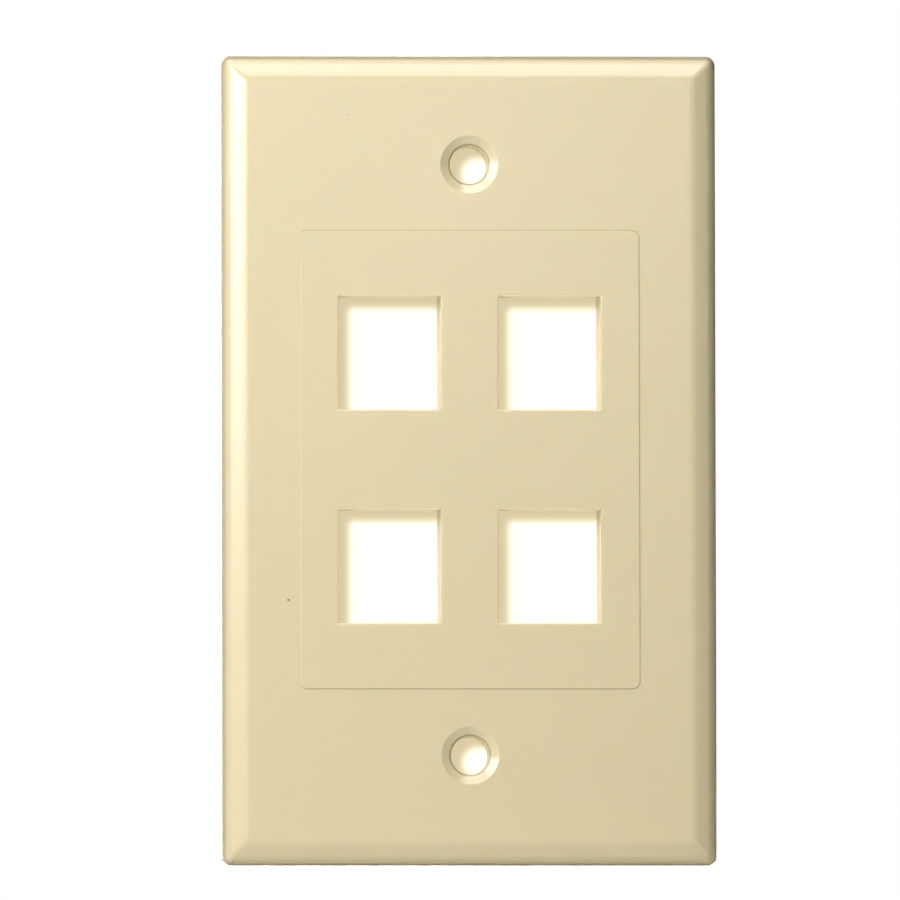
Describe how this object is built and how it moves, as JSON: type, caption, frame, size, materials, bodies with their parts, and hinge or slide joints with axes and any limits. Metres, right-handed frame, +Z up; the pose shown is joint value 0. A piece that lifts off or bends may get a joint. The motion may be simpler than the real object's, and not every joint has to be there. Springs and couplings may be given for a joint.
{
  "type": "keystone faceplate",
  "caption": "Flat wall plate with a mitred bevel, a raised panel holding snap-in module ports with sockets behind, and countersunk screw holes above and below.",
  "frame": {"origin": "in the wall plane (rear edge of the skirt), midway between the two screw holes", "axes": "+X right and +Z up as seen by a person facing the plate, -Y out of the wall along the screws' axes towards that person"},
  "size_m": [0.0698, 0.01, 0.1142],
  "materials": {
    "ivory_plastic": "semi-gloss moulded ivory, uniform colour through the wall"
  },
  "bodies": {
    "root": {"faceplate": "ivory_plastic"}
  },
  "joints": []
}
